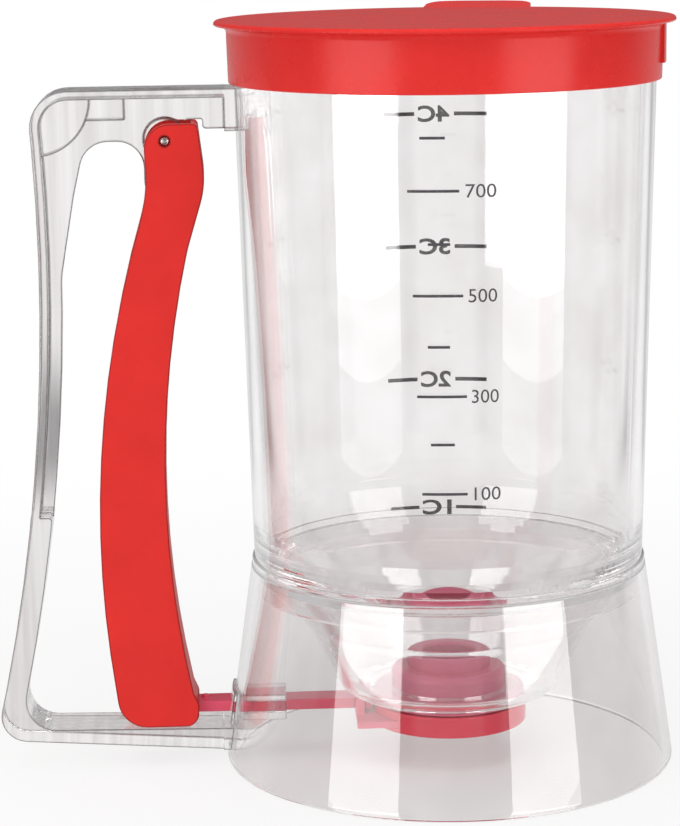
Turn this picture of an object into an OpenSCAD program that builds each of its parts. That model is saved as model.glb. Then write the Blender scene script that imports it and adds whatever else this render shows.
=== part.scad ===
// Batter dispenser: a clear jug with a funnel floor on a flared base, a push-on lid, and a
// D-handle whose trigger draws a sliding gate from under the outlet.
// Millimetres. The origin is the centre of the base rim on the standing plane, +Z is up and
// the handle points to -X.

/* [Jug] */
// Height of the jug's mouth above the standing plane
jug_h = 197.5; // [180:0.5:220]
// Outer radius of the jug at its mouth
mouth_r = 55.7; // [53:0.1:60]
// Outer radius of the jug at its foot, just above the base
foot_r = 52.3; // [50:0.1:54]
// Wall of the jug
jug_wall = 2.4; // [1.8:0.1:3]
// Height of the bead around the foot of the jug
bead_h = 2.2; // [1.4:0.1:3]
// How far that bead stands out from the wall
bead_out = 0.7; // [0.4:0.1:1.2]

/* [Funnel] */
// Wall of the funnel
funnel_wall = 2.6; // [2:0.1:3.2]
// Inner radius where the funnel turns from its shoulder to its steep part
funnel_mid_r = 36; // [33:0.5:39]
// Height of that turn above the funnel's floor
funnel_mid_h = 18.5; // [15:0.5:22]
// Inner radius of the funnel's floor
floor_r = 26.9; // [24:0.1:29]
// Diameter of the outlet
outlet_d = 14; // [10:0.5:15]

/* [Base] */
// Outer radius of the base at its rim
base_r = 61; // [57:0.5:65]
// Height of the joint between base and jug
base_h = 54.4; // [51:0.2:60]
// How far the top of the base stands out from the jug's foot
base_step = 0.9; // [0.5:0.1:1.6]
// Wall of the base
base_wall = 2.4; // [1.8:0.1:3]
// Depth of the jug's spigot inside the base
spigot_h = 7.4; // [5:0.2:9]
// Wall of that spigot
spigot_wall = 2.1; // [1.6:0.1:2.6]

/* [Valve] */
// Height of the valve cap's underside above the standing plane
cap_z = 9.9; // [7:0.1:12]
// Outer radius of the valve cap
cap_r = 21; // [20.4:0.1:23]
// Height of the valve cap
cap_h = 5.7; // [5.4:0.1:7]
// Thickness of the valve cap's floor
cap_floor = 1.35; // [1:0.05:1.8]
// Radius of the hole in the valve cap's floor
cap_hole_r = 9; // [8:0.5:12]
// Radius of the valve seat's neck inside the cap
neck_r = 17.8; // [17.4:0.1:18.4]
// Height from the neck's foot to the underside of the funnel's floor
neck_h = 4.5; // [3.6:0.1:6]
// Thickness of the gate plate
gate_t = 1.8; // [1.4:0.1:2.2]
// Width of the gate plate
gate_w = 29; // [24:0.5:29]
// How far the gate plate reaches past the outlet's centre when it is shut
gate_nose = 11; // [10:0.25:11.5]
// Radius of the valve seat's boss in the funnel's floor
seat_r = 15.6; // [14:0.1:16]
// How far the seat's rim stands up round the outlet, above the funnel's floor
rim_h = 9.7; // [6:0.1:11]
// Thickness of the seal ring
seal_t = 2; // [1.4:0.1:2.6]
// Width of the seal ring's band
seal_band = 2.4; // [1.8:0.1:2.8]

/* [Draw rod] */
// Width of the draw rod
rod_w = 8; // [6:0.5:9]
// Thickness of the draw rod
rod_t = 2.9; // [2.2:0.1:3.4]
// How far the gate plate travels from shut to open
stroke = 17.4; // [14:0.2:17.6]

/* [Handle] */
// Distance from the jug's mouth to the trigger's pivot
pivot_gap = 18; // [16.5:0.5:24]
// Drop from the handle's top to the pivot
pivot_drop = 13.4; // [12.8:0.1:16]
// Distance from the pivot to the handle's upper outer corner
handle_depth = 35.6; // [33:0.2:42]
// How much further out the handle's lower outer corner lies than its upper one
handle_flare = 13.9; // [10:0.1:18]
// Bow of the handle's outer edge toward the jug
handle_bow = 7.2; // [3:0.1:9]
// Width of the handle
handle_w = 16; // [14:0.5:20]
// Thickness of the handle's rim
rim_t = 2.3; // [1.8:0.1:3]
// Depth of the grip bar
bar_t = 5.7; // [4.6:0.1:7]
// Height of the grip bar's solid part
grip_h = 70; // [50:1:80]
// Thickness of the web inside the handle's rim
web_t = 3.2; // [2.4:0.1:3.6]
// Depth of the handle's lower arm where it meets the base
arm_t = 6; // [4:0.1:7]

/* [Trigger] */
// Distance from the pivot to the trigger's front face at the draw rod
trigger_front = 5.5; // [3:0.1:7]
// Depth of the trigger at its foot
trigger_depth = 21; // [18:0.5:23]
// Bow of the trigger's front edge
front_bow = 6.6; // [3:0.1:8]
// Bow of the trigger's back edge
back_bow = 7.2; // [4:0.1:8]
// Width of the trigger
trigger_w = 16; // [15:0.5:20]
// Wall of the trigger's cheeks
cheek_t = 1.8; // [1.4:0.1:2.2]
// Wall of the trigger's front
front_t = 2.2; // [1.6:0.1:2.8]
// Diameter of the pivot pin
pin_d = 2.8; // [2:0.1:3.2]
// Diameter of the return spring's wire
wire_d = 0.85; // [0.6:0.05:0.95]

/* [Lid] */
// Height of the lid's skirt below its flange
lid_skirt_h = 14.3; // [10:0.1:18]
// Wall of the lid's skirt, where it meets the flange
lid_wall = 1.15; // [0.95:0.05:1.6]
// Thickness of the lid's plate and flange
lid_t = 2.2; // [1.6:0.1:3]
// How far the lid's flange stands out from its skirt
flange_out = 3.5; // [2:0.1:5]
// Depth of the plug ring inside the jug's mouth
plug_h = 5; // [3:0.5:8]
// Width of the lift tab
tab_w = 30; // [20:1:40]
// How far the lift tab reaches past the flange
tab_out = 7; // [4:0.5:12]
// Angle at which the lift tab rises
tab_tilt = 8; // [4:1:12]

/* [Fits] */
// Gap between parts that slide on each other
slide_gap = 0.15; // [0.1:0.01:0.25]
// Gap between parts that lift off or swing past each other
free_gap = 0.3; // [0.2:0.05:0.5]
// Gap between bonded parts
bond_gap = 0.05; // [0.02:0.01:0.1]
// Radial clearance of the pivot pin in the handle
pin_gap = 0.05; // [0.02:0.01:0.08]

/* [Hidden] */
$fn = 96;
cut = 1;              // how far a cutter runs past the face it opens
edge_r = 0.5;         // rounding of a plain moulded edge
bow_steps = 12;       // steps along a bowed edge

// Valve heights, from the cap's underside up
gate_z = cap_z + cap_floor + slide_gap;
seat_z = gate_z + gate_t + slide_gap;
seal_proud = 0.25;    // how far the seal stands out of the neck's face
neck_z = seat_z + seal_proud;
floor_out_z = seat_z + neck_h;
floor_z = floor_out_z + funnel_wall;
outlet_round = 0.9;
rim_wall = 4.3;
rim_r = outlet_d / 2 + rim_wall;
rim_z = floor_z + rim_h;
step_at = 0.55;       // how far up its rise the boss steps in to the rim
step_z = floor_z + step_at * rim_h;
step_round = 2;
cap_top_z = cap_z + cap_h;
collar_in = 0.4;      // how much slimmer the collar above the cap is than the cap
collar_r = cap_r - collar_in;
collar_z = cap_top_z + free_gap;
seal_margin = 0.8;    // from the outlet's bore to the seal
seal_in_r = outlet_d / 2 + seal_margin;
seal_out_r = seal_in_r + seal_band;

// Bayonet between the neck and the valve cap
lugs = 3;
lug_h = 0.9;
lug_out = 1.5;
lug_arc = 14;         // half the angle that a lug spans
lug_at = 60;          // where the first lug sits
notch_arc = 16;
lug_turn = 34;        // turn from the entry notch to the locked place

// Draw rod, post and guide
rod_lift = 0.9;       // gap between the gate plate and the rod
rod_z = gate_z + gate_t + rod_lift;
rod_mid_z = rod_z + rod_t / 2;
rod_top_z = rod_z + rod_t;
post_t = 2.4;
post_w = 14;
post_gap = 2.4;       // from the cap to the gate's post
post_in_x = -(cap_r + post_gap);
post_out_x = post_in_x - post_t;
post_top_z = floor_out_z - free_gap;
neck_cut = 0.5;       // the rod's neck is this much narrower on each side
hook_t = 1.7;
hook_w = 11;
head_w = trigger_w - 2 * cheek_t - 2 * free_gap;
head_t = 2.6;
head_gap = 0.65;      // room for the trigger to tilt against the rod's head
nub_r = 1;
nub_h = 1;
nub_gap = 0.7;
guide_clear = 1.3;    // from the open gate's post to the guide
guide_in_x = post_out_x - stroke - guide_clear;
guide_wall = 1.9;
guide_flange_t = 1;
guide_flange_out = 1.1;
guide_hole_w = rod_w + 2 * slide_gap;
guide_hole_h = rod_t + 2 * slide_gap;
guide_w = guide_hole_w + 2 * guide_wall;
guide_h = guide_hole_h + 2 * guide_wall;

// Lid
lid_seat = 0.2;       // the lid's plate rests this far above the jug's mouth
lid_under_z = jug_h + lid_seat;
lid_top_z = lid_under_z + lid_t;
flange_drop = 1.9;    // from the lid's top to the crease under its flange
lid_foot_z = lid_top_z - flange_drop - lid_skirt_h;
lid_in_r = mouth_r + free_gap;
lid_out_r = lid_in_r + lid_wall;
lid_draft = 0.35;     // how much slimmer the skirt is at its foot
flange_r = lid_out_r + flange_out;
plug_ease = 0.2;      // the plug is slimmer than its gap alone asks, because the jug tapers
plug_r = mouth_r - jug_wall - free_gap - plug_ease;
plug_wall = 1.6;
plug_root = 0.4;      // rounding of the plug's inner root
plug_lead = 0.6;
skirt_in_round = 0.2;
skirt_foot_round = 0.3;
crease_round = 1.5;
flange_h = 1.2;       // height of the flange's edge
flange_lean = 0.6;    // how much slimmer the flange is at its top
flange_low_round = 0.5;
flange_top_round = 0.8;
tab_t = 1.6;
tab_root = 3;         // how far the tab starts inside the flange's edge
tab_round = 6;
tab_angle = 76;       // turn of the lift tab about the jug's axis, counted from +X
pad_out = 0.7;        // raised pad on the lid's skirt
pad_arc = 17;
pad_h = 10;

// Handle corners, the pivot and the trigger's link
handle_gap = 0.9;     // from the lid's foot to the handle's top
handle_top_z = lid_foot_z - handle_gap;
pivot_x = -(mouth_r + pivot_gap);
pivot_z = handle_top_z - pivot_drop;
corner_x = pivot_x - handle_depth;
heel_x = corner_x - handle_flare;
heel_drop = 1;        // how far the handle's heel hangs below the cap's underside
heel_z = cap_z - heel_drop;
corner_round = 9.7;
heel_round = 7;
inner_round = 8;
arm_rise = 2.6;       // from the heel's corner to the arm's top
arm_top_z = heel_z + arm_rise;
arm_slope = 1;        // the arm's top falls by this much toward the base
arm_low_z = arm_top_z - arm_slope - arm_t;
pad_t = 3;            // thickness of the pads that bond the handle to the jug and the base
top_pad_h = 11;
rib_w = 7;
rib_drop = 8;
gusset_w = 9;
gusset_r = 15;
lug_w = 5;
lug_front = 5.6;      // from the pivot to the lug's front, back and foot
lug_back = 5.6;
lug_drop = 16;
lug_round = 5;
web_lift = 5.1;       // the web clears the trigger's top by starting this far above the pivot
tongue_at = 9.9;      // before the trigger the web reaches down again, from here to the jug
tongue_rise = 2.6;
crown_round = 7;      // roundings of the arch's crown
arch_w = 15.3;        // width of the arch at its crown
arch_top = 0.4;       // the crown lies this far below the pivot
arch_belly_w = 18.6;  // width of the arch where its crown ends
arch_belly = 14;      // that place lies this far below the crown
belly_round = 30;
arch_spring = 36;     // the arch starts to lean in this far below the pivot
boss_wall = 1.6;
boss_proud = 0.2;     // how far the pivot's boss stands out from the lug on each side
boss_r = pin_d / 2 + boss_wall;
boss_w = lug_w + 2 * boss_proud;

// Trigger outline, counted from the pivot
top_x = 8.6;
top_h = 4.5;
top_round = 1.5;
shoulder_x = 10.5;
shoulder_z = 11.5;
shoulder_round = 24;
throat_x = 5.3;
throat_z = 28.5;
throat_round = 60;
crest_x = 5.7;
crest_round = 6.6;
waist_x = 5;
waist_z = 12.5;
waist_round = 40;
nape_x = 6.9;
nape_z = 20.6;
nape_round = 40;
front_x = pivot_x + trigger_front;
ankle_x = 1.4;        // the ankle lies this far behind the front face and above the rod's middle
ankle_z = 5;
foot_drop = 4.3;      // from the rod's middle to the trigger's sole
foot_z = rod_mid_z - foot_drop;
toe_round = 3;
toe_lean = 0.3;       // how far the toe's lower corner lies behind the front face
sole_round = 3.5;
trigger_heel_round = 8;
back_low = [1.2, 10]; // lower end of the back's bow, counted from the foot's back corner
sole_t = 1.5;
slot_h = rod_t + 1.8;
slot_shift = 0.1;     // the slot's middle lies this far below the rod's
slot_w = rod_w + 2 * free_gap;

// Pin, clip and spring
pin_end = 0.5;        // the pin's near end lies this far inside the trigger's cheek
clip_t = 0.6;
clip_r = 3;
pin_tail = 0.5;
channel = trigger_w / 2 - cheek_t;
spacer_wall = 1;
spacer_r = pin_d / 2 + spacer_wall;
coil_gap = 0.15;      // gap between the pin and the coil
coil_r = pin_d / 2 + coil_gap + wire_d / 2;
coil_turns = 2.6;
turn_gap = 0.02;      // between the coil's turns
coil_pitch = wire_d + turn_gap;
leg_drop = 12;
leg_gap = 0.6;        // between the spring's front leg and the trigger's front wall
hook_at = 4.6;        // distance of the spring's hole in the lug from the pivot
hook_turn = 200;      // its turn about the pivot, counted from +X toward +Z
hook_hole_r = 0.6;

// Points along an arc from a to b that bows by s to the left of the way there
function bow(a, b, s, n) =
    let (c = norm(b - a), r = (c * c / 4 + s * s) / (2 * s), u = (b - a) / c, v = [-u.y, u.x],
         m = (a + b) / 2 - v * (r - s), w = asin(c / 2 / r))
    [for (i = [1 : n - 1]) let (t = w * (2 * i / n - 1), q = m + r * (v * cos(t) + u * sin(t)))
        [q.x, q.y, 0]];
// Corner i of the closed path p of [x, y, radius], rounded with k steps
function corner(p, i, k) =
    let (n = len(p), c = [p[i].x, p[i].y], before = p[(i + n - 1) % n], after = p[(i + 1) % n],
         a = [before.x, before.y] - c, b = [after.x, after.y] - c, ua = a / norm(a), ub = b / norm(b),
         h = acos(ua * ub) / 2, turn = 180 - 2 * h, m = c + (ua + ub) / norm(ua + ub) * p[i].z / sin(h),
         s = c + ua * p[i].z / tan(h) - m, e = c + ub * p[i].z / tan(h) - m)
    [for (j = [0 : k]) let (v = s * sin((1 - j / k) * turn) + e * sin(j / k * turn))
        m + v / norm(v) * p[i].z];
// The closed path with every corner rounded by its own radius
function rounded(p, k = 8) =
    [for (i = [0 : len(p) - 1]) each (p[i].z > 0 ? corner(p, i, k) : [[p[i].x, p[i].y]])];
// The inner points of an open path, moved to its left by d; each keeps its rounding radius
function beside(p, d) =
    [for (i = [1 : len(p) - 2])
        let (a = p[i] - p[i - 1], b = p[i + 1] - p[i],
             m = [-a.y, a.x] / norm([a.x, a.y]), n = [-b.y, b.x] / norm([b.x, b.y]),
             q = [p[i].x, p[i].y] + (m + n) / (1 + m * n) * d)
        [q.x, q.y, p[i].z]];
// The path from its last point to its first
function reversed(p) = [for (i = [len(p) - 1 : -1 : 0]) p[i]];
// Height at radius r of the line through p with direction d
function height_at(p, d, r) = p.y + (r - p.x) * d.y / d.x;

// Outer radius of the jug and of the base at a height
function jug_r(z) = foot_r + (mouth_r - foot_r) * (z - base_h) / (jug_h - base_h);
function skirt_r(z) = base_r + (foot_r + base_step - base_r) * z / base_h;

// Extrudes an outline drawn in X and Z to width w, centred on the handle's plane
module slab(points, w) {
    rotate([90, 0, 0]) linear_extrude(w, center = true) polygon(points);
}
// A solid of revolution inside a closed path of [radius, height]
module turned(points) {
    rotate_extrude() polygon(points);
}
// A box centred on the handle's plane
module block(x0, x1, w, z0, z1) {
    translate([x0, -w / 2, z0]) cube([x1 - x0, w, z1 - z0]);
}
// A cylinder along Y through the pivot, from y0 to y1
module on_pivot(r, y0, y1) {
    translate([pivot_x, y1, pivot_z]) rotate([90, 0, 0]) cylinder(h = y1 - y0, r = r);
}
// A wedge of half angle arc about the axis at angle a, as large as radius r
module wedge(r, a, arc, z0, z1) {
    translate([0, 0, z0]) rotate(a) linear_extrude(z1 - z0)
        polygon([[0, 0], r * [1, -tan(arc)], r * [1, tan(arc)]]);
}
// Everything inside the jug's and the base's outer surfaces, grown by gap
module inside_jug(gap) {
    turned([[0, base_h + gap], [foot_r + bead_out + gap, base_h + gap],
            [foot_r + bead_out + gap, base_h + bead_h], [jug_r(base_h + bead_h) + gap, base_h + bead_h],
            [mouth_r + gap, jug_h], [0, jug_h]]);
}
module inside_skirt(gap) {
    turned([[0, -cut], [skirt_r(-cut) + gap, -cut], [skirt_r(base_h) + gap, base_h], [0, base_h]]);
}

// Jug: a wall, a funnel floor with a hole for the valve seat, and a spigot inside the base
spigot_r = skirt_r(base_h) - base_wall - bond_gap;
shoulder_bend = 28;   // roundings of the funnel's shoulder, of its turn and of its foot
mid_round = 12;
foot_round = 5.4;
shoulder = [foot_r - jug_wall, base_h + funnel_wall, shoulder_bend];
funnel_mid = [funnel_mid_r, floor_z + funnel_mid_h, mid_round];
funnel_foot = [floor_r, floor_z, foot_round];
funnel_outside = beside([shoulder, funnel_mid, funnel_foot, [seat_r, floor_z, 0]], funnel_wall);
funnel_slope = funnel_mid - shoulder;
spigot_in_r = spigot_r - spigot_wall;
spigot_root_z = height_at(funnel_outside[0], funnel_slope, spigot_in_r);

module jug_body() {
    color("gainsboro", 0.35) turned(rounded([
        [mouth_r, jug_h, edge_r], [mouth_r - jug_wall, jug_h, edge_r], shoulder, funnel_mid, funnel_foot,
        [seat_r, floor_z, 0], [seat_r, floor_out_z, 0],
        [funnel_outside[1].x, funnel_outside[1].y, foot_round + funnel_wall],
        [funnel_outside[0].x, funnel_outside[0].y, mid_round], [spigot_in_r, spigot_root_z, 0],
        [spigot_in_r, base_h - spigot_h, edge_r], [spigot_r, base_h - spigot_h, edge_r],
        [spigot_r, base_h, 0], [foot_r + bead_out, base_h, 0],
        [foot_r + bead_out, base_h + bead_h, edge_r], [jug_r(base_h + bead_h), base_h + bead_h, 0]]));
}

// Base
rim_round = 1.4;      // rounding of the rim that the dispenser stands on
module base_skirt() {
    color("gainsboro", 0.35) difference() {
        turned(rounded([
            [base_r, 0, rim_round], [skirt_r(base_h), base_h, edge_r],
            [skirt_r(base_h) - base_wall, base_h, 0], [base_r - base_wall, 0, edge_r]]));
        block(-base_r - cut, -foot_r + 2 * base_wall, guide_w + 2 * bond_gap,
              rod_mid_z - guide_h / 2 - bond_gap, rod_mid_z + guide_h / 2 + bond_gap);
    }
}

// Handle, drawn in X and Z
top_in_x = -jug_r(handle_top_z - top_pad_h);
foot_in_x = -skirt_r(arm_low_z);
bite = 3;             // how far the handle's slabs run into the jug's wall before they are trimmed
outer_corner = [corner_x, handle_top_z, corner_round];
outer_heel = [heel_x, heel_z, heel_round];
outer_edge = reversed(bow([corner_x, handle_top_z], [heel_x, heel_z], handle_bow, bow_steps));
back_edge = concat([outer_heel], outer_edge, [outer_corner]);
inner_edge = beside(concat([[foot_in_x, arm_low_z, 0]], back_edge, [[top_in_x, handle_top_z, 0]]), -bar_t);
// The X at which a rising path passes a height
function edge_x(path, z) = lookup(z, [for (p = path) [p.y, p.x]]);

module handle_rim() {
    outside = concat([[edge_x(back_edge, grip_h), grip_h - cut, 0]],
                     [for (p = outer_edge) if (p.y > grip_h) p],
                     [outer_corner, [top_in_x + bite, handle_top_z, 0]]);
    inside = beside(concat([outer_heel], outside, [[0, handle_top_z, 0]]), -rim_t);
    slab(rounded(concat(outside, reversed([for (p = inside) [p.x, p.y, max(p.z - rim_t, 0)]]))), handle_w);
}
module grip_bar() {
    low = [for (p = outer_edge) if (p.y < grip_h) p];
    low_inside = [for (p = inner_edge) if (p.y < grip_h && p.y > arm_top_z + inner_round) p];
    slab(rounded(concat(
        [[foot_in_x + bite, arm_low_z, 0], outer_heel], low,
        [[edge_x(back_edge, grip_h), grip_h, 0], [edge_x(inner_edge, grip_h), grip_h, 2 * edge_r]],
        reversed(low_inside), [[edge_x(inner_edge, arm_top_z), arm_top_z, inner_round],
        [foot_in_x + bite, arm_top_z - arm_slope, 0]])), handle_w);
}
module handle_web() {
    rim_side = rim_t / 2;
    outside = beside(concat([outer_heel], [for (p = outer_edge) if (p.y > grip_h) p],
                            [outer_corner, [top_in_x, handle_top_z, 0]]), -rim_side);
    inside = [for (p = inner_edge) if (p.y > grip_h && p.y < pivot_z - arch_spring) p];
    crown_z = pivot_z - arch_top;
    lug_back_x = pivot_x - lug_back;
    slab(rounded(concat(
        [[edge_x(back_edge, grip_h) + rim_side, grip_h - cut, 0]],
        [for (p = outside) [p.x, p.y, max(p.z - rim_side, 0)]],
        [[top_in_x + bite, handle_top_z - rim_side, 0], [top_in_x + bite, pivot_z + tongue_rise, 0],
         [pivot_x + tongue_at, pivot_z + tongue_rise, 2 * edge_r],
         [pivot_x + tongue_at, pivot_z + web_lift, edge_r], [pivot_x + lug_front, pivot_z + web_lift, edge_r],
         [pivot_x + lug_front, pivot_z - lug_drop, lug_round],
         [lug_back_x, pivot_z - lug_drop, lug_round], [lug_back_x, crown_z, crown_round],
         [lug_back_x - arch_w, crown_z, crown_round + edge_r],
         [lug_back_x - arch_belly_w, crown_z - arch_belly, belly_round],
         [edge_x(inner_edge, pivot_z - arch_spring), pivot_z - arch_spring, belly_round]],
        reversed(inside), [[edge_x(inner_edge, grip_h), grip_h - cut, 0]])), web_t);
}
module handle_frame() {
    color("gainsboro", 0.35) difference() {
        union() {
            handle_rim();
            grip_bar();
            handle_web();
            block(corner_x + corner_round, pivot_x - shoulder_x, rib_w, handle_top_z - rib_drop,
                  handle_top_z - cut);
            intersection() {
                translate([corner_x + rim_t / 2, gusset_w / 2, handle_top_z - rim_t]) rotate([90, 0, 0])
                    cylinder(h = gusset_w, r = gusset_r);
                handle_corner(gusset_w);
            }
            block(top_in_x - pad_t, top_in_x + bite, handle_w, handle_top_z - top_pad_h, handle_top_z);
            block(foot_in_x - pad_t / 2, foot_in_x + bite, handle_w, arm_low_z, arm_top_z - arm_slope);
            on_pivot(boss_r, -boss_w / 2, boss_w / 2);
            on_pivot(lug_front, -lug_w / 2, lug_w / 2);
        }
        on_pivot(pin_d / 2 + pin_gap, -handle_w, handle_w);
        translate([pivot_x + leg_head.x, 0, pivot_z + leg_head.y]) rotate([90, 0, 0])
            cylinder(h = 2 * lug_w, r = hook_hole_r, center = true);
        inside_jug(bond_gap);
        inside_skirt(bond_gap);
    }
}
// The space near the handle's upper corner that the gusset may fill
module handle_corner(w) {
    left = corner_x + rim_t / 2;
    top = handle_top_z - rim_t / 2;
    slab(rounded([[left, top - 2 * gusset_r, 0], [left, top, corner_round - rim_t / 2],
                  [left + 2 * gusset_r, top, 0], [left + 2 * gusset_r, top - 2 * gusset_r, 0]]), w);
}

// Rod guide: a bush through the base with a flange on its outside
module rod_guide() {
    color("gainsboro", 0.35) difference() {
        intersection() {
            union() {
                block(-base_r - 2 * cut, guide_in_x, guide_w, rod_mid_z - guide_h / 2,
                      rod_mid_z + guide_h / 2);
                difference() {
                    block(-base_r - 2 * cut, -foot_r, guide_w + 2 * guide_flange_out,
                          rod_mid_z - guide_h / 2 - guide_flange_out,
                          rod_mid_z + guide_h / 2 + guide_flange_out);
                    inside_skirt(bond_gap);
                }
            }
            inside_skirt(bond_gap + guide_flange_t);
        }
        block(-base_r - 3 * cut, guide_in_x + cut, guide_hole_w, rod_mid_z - guide_hole_h / 2,
              rod_mid_z + guide_hole_h / 2);
    }
}

// Valve: the seat's stepped boss stands up through the hole in the funnel's floor, its flange is
// bonded under that floor, and the cap locks on the lugs at the foot of its neck
module bayonet_lugs() {
    for (i = [0 : lugs - 1]) intersection() {
        turned([[neck_r - edge_r, neck_z], [neck_r + lug_out, neck_z],
                [neck_r + lug_out, neck_z + lug_h], [neck_r - edge_r, neck_z + lug_h]]);
        wedge(2 * neck_r, lug_at + i * 360 / lugs, lug_arc, neck_z - cut, neck_z + lug_h + cut);
    }
}
module valve_seat() {
    groove_z = seat_z + seal_t + slide_gap;
    flange_top_z = floor_out_z - bond_gap;
    color("crimson") union() {
        turned(rounded([
            [outlet_d / 2, rim_z, outlet_round], [outlet_d / 2, neck_z, 0],
            [seal_in_r - slide_gap, neck_z, 0], [seal_in_r - slide_gap, groove_z, 0],
            [seal_out_r + slide_gap, groove_z, 0], [seal_out_r + slide_gap, neck_z, 0],
            [neck_r, neck_z, 0], [neck_r, collar_z, 0], [collar_r, collar_z, edge_r],
            [collar_r, flange_top_z, edge_r], [seat_r - bond_gap, flange_top_z, 0],
            [seat_r - bond_gap, step_z, step_round], [rim_r, step_z, 0], [rim_r, rim_z, outlet_round]]));
        bayonet_lugs();
    }
}
module gate_seal() {
    color("gainsboro") turned([[seal_in_r, seat_z], [seal_out_r, seat_z], [seal_out_r, seat_z + seal_t],
                               [seal_in_r, seat_z + seal_t]]);
}
module valve_cap() {
    ring_in_r = neck_r + free_gap;
    track_r = neck_r + lug_out + free_gap;
    track_top_z = neck_z + lug_h + slide_gap;
    slot_w = gate_w + 2 * slide_gap;
    color("crimson") difference() {
        turned(rounded([
            [cap_r, cap_z, edge_r], [cap_r, cap_top_z, edge_r], [ring_in_r, cap_top_z, 0],
            [ring_in_r, track_top_z, 0], [track_r, track_top_z, 0], [track_r, cap_z + cap_floor, 0],
            [cap_hole_r, cap_z + cap_floor, edge_r / 2], [cap_hole_r, cap_z, edge_r / 2]]));
        for (i = [0 : lugs - 1]) intersection() {
            translate([0, 0, track_top_z - cut]) cylinder(h = cap_h, r = track_r);
            wedge(2 * neck_r, lug_at + lug_turn + i * 360 / lugs, notch_arc, neck_z, cap_top_z + cut);
        }
        block(-cap_r - cut, 0, slot_w, cap_z + cap_floor, seat_z);
    }
}
nose_round = 3;       // rounding of the gate plate's leading corners
module gate_plate() {
    color("crimson") union() {
        translate([0, 0, gate_z]) linear_extrude(gate_t)
            polygon(rounded([[post_out_x, -gate_w / 2, edge_r], [gate_nose, -gate_w / 2, nose_round],
                             [gate_nose, gate_w / 2, nose_round], [post_out_x, gate_w / 2, edge_r]]));
        difference() {
            block(post_out_x, post_in_x, post_w, gate_z + gate_t / 2, post_top_z);
            block(post_out_x - cut, post_in_x + cut, rod_w - 2 * neck_cut + 2 * slide_gap,
                  rod_z - slide_gap, post_top_z + cut);
        }
    }
}

// Draw rod: a strip with a head behind the trigger's front and a necked hook in the gate's post
module draw_rod() {
    head_in_x = front_x - front_t - head_gap;
    color("crimson") union() {
        difference() {
            block(head_in_x - head_t, post_in_x + slide_gap + hook_t, rod_w, rod_z, rod_top_z);
            for (s = [-1, 1]) translate([(post_in_x + post_out_x) / 2, s * rod_w / 2, rod_mid_z])
                cube([post_t + 2 * slide_gap, 2 * neck_cut, 2 * rod_t], center = true);
        }
        block(head_in_x - head_t, head_in_x, head_w, rod_z, rod_top_z);
        block(post_in_x + slide_gap, post_in_x + slide_gap + hook_t, hook_w, rod_z, rod_top_z);
        translate([front_x + nub_gap + nub_r, 0, rod_top_z - nub_h]) cylinder(h = 2 * nub_h, r = nub_r);
    }
}

// Trigger
throat = [pivot_x + throat_x, pivot_z - throat_z];
ankle = [front_x - ankle_x, rod_mid_z + ankle_z];
nape = [pivot_x - nape_x, pivot_z - nape_z];
back_foot_x = front_x - trigger_depth;
front_path = concat(
    [[pivot_x + top_x, pivot_z + top_h, top_round],
     [pivot_x + shoulder_x, pivot_z - shoulder_z, shoulder_round], [throat.x, throat.y, throat_round]],
    bow(throat, ankle, -front_bow, bow_steps),
    [[ankle.x, ankle.y, 0], [front_x, rod_top_z + free_gap, toe_round],
     [front_x - toe_lean, foot_z, sole_round]]);
back_path = concat([[back_foot_x, foot_z, trigger_heel_round]],
    bow([back_foot_x - back_low.x, foot_z + back_low.y], nape, back_bow, bow_steps),
    [[nape.x, nape.y, nape_round], [pivot_x - waist_x, pivot_z - waist_z, waist_round],
     [pivot_x - crest_x, pivot_z + top_h, crest_round]]);

module trigger() {
    wall = beside(concat([[pivot_x, pivot_z + top_h, 0]], front_path, [[back_foot_x, foot_z, 0]]), -front_t);
    open_x = back_foot_x - trigger_depth;
    color("crimson") difference() {
        slab(rounded(concat(front_path, back_path)), trigger_w);
        slab(rounded(concat(
            [[wall[0].x, pivot_z + top_h + cut, 0]], [for (i = [1 : len(wall) - 2]) wall[i]],
            [[front_x - toe_lean - front_t, foot_z + sole_t, edge_r],
             [open_x, foot_z + sole_t, 0], [open_x, pivot_z + top_h + cut, 0]])), 2 * channel);
        block(front_x - 2 * front_t, front_x + 2 * front_t, slot_w,
              rod_mid_z - slot_h / 2 - slot_shift, rod_mid_z + slot_h / 2 - slot_shift);
        on_pivot(pin_d / 2 + bond_gap / 2, -trigger_w, trigger_w);
    }
}
module pivot_pin() {
    color("silver") on_pivot(pin_d / 2, -trigger_w / 2 + pin_end, trigger_w / 2 + clip_t + pin_tail);
}
module pivot_clip() {
    color("silver") difference() {
        on_pivot(clip_r, trigger_w / 2 + bond_gap, trigger_w / 2 + bond_gap + clip_t);
        on_pivot(pin_d / 2 + bond_gap / 2, 0, trigger_w);
    }
}
module pivot_spacer() {
    color("white") difference() {
        on_pivot(spacer_r, boss_w / 2 + slide_gap, channel - slide_gap);
        on_pivot(pin_d / 2 + pin_gap, 0, trigger_w);
    }
}

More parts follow.
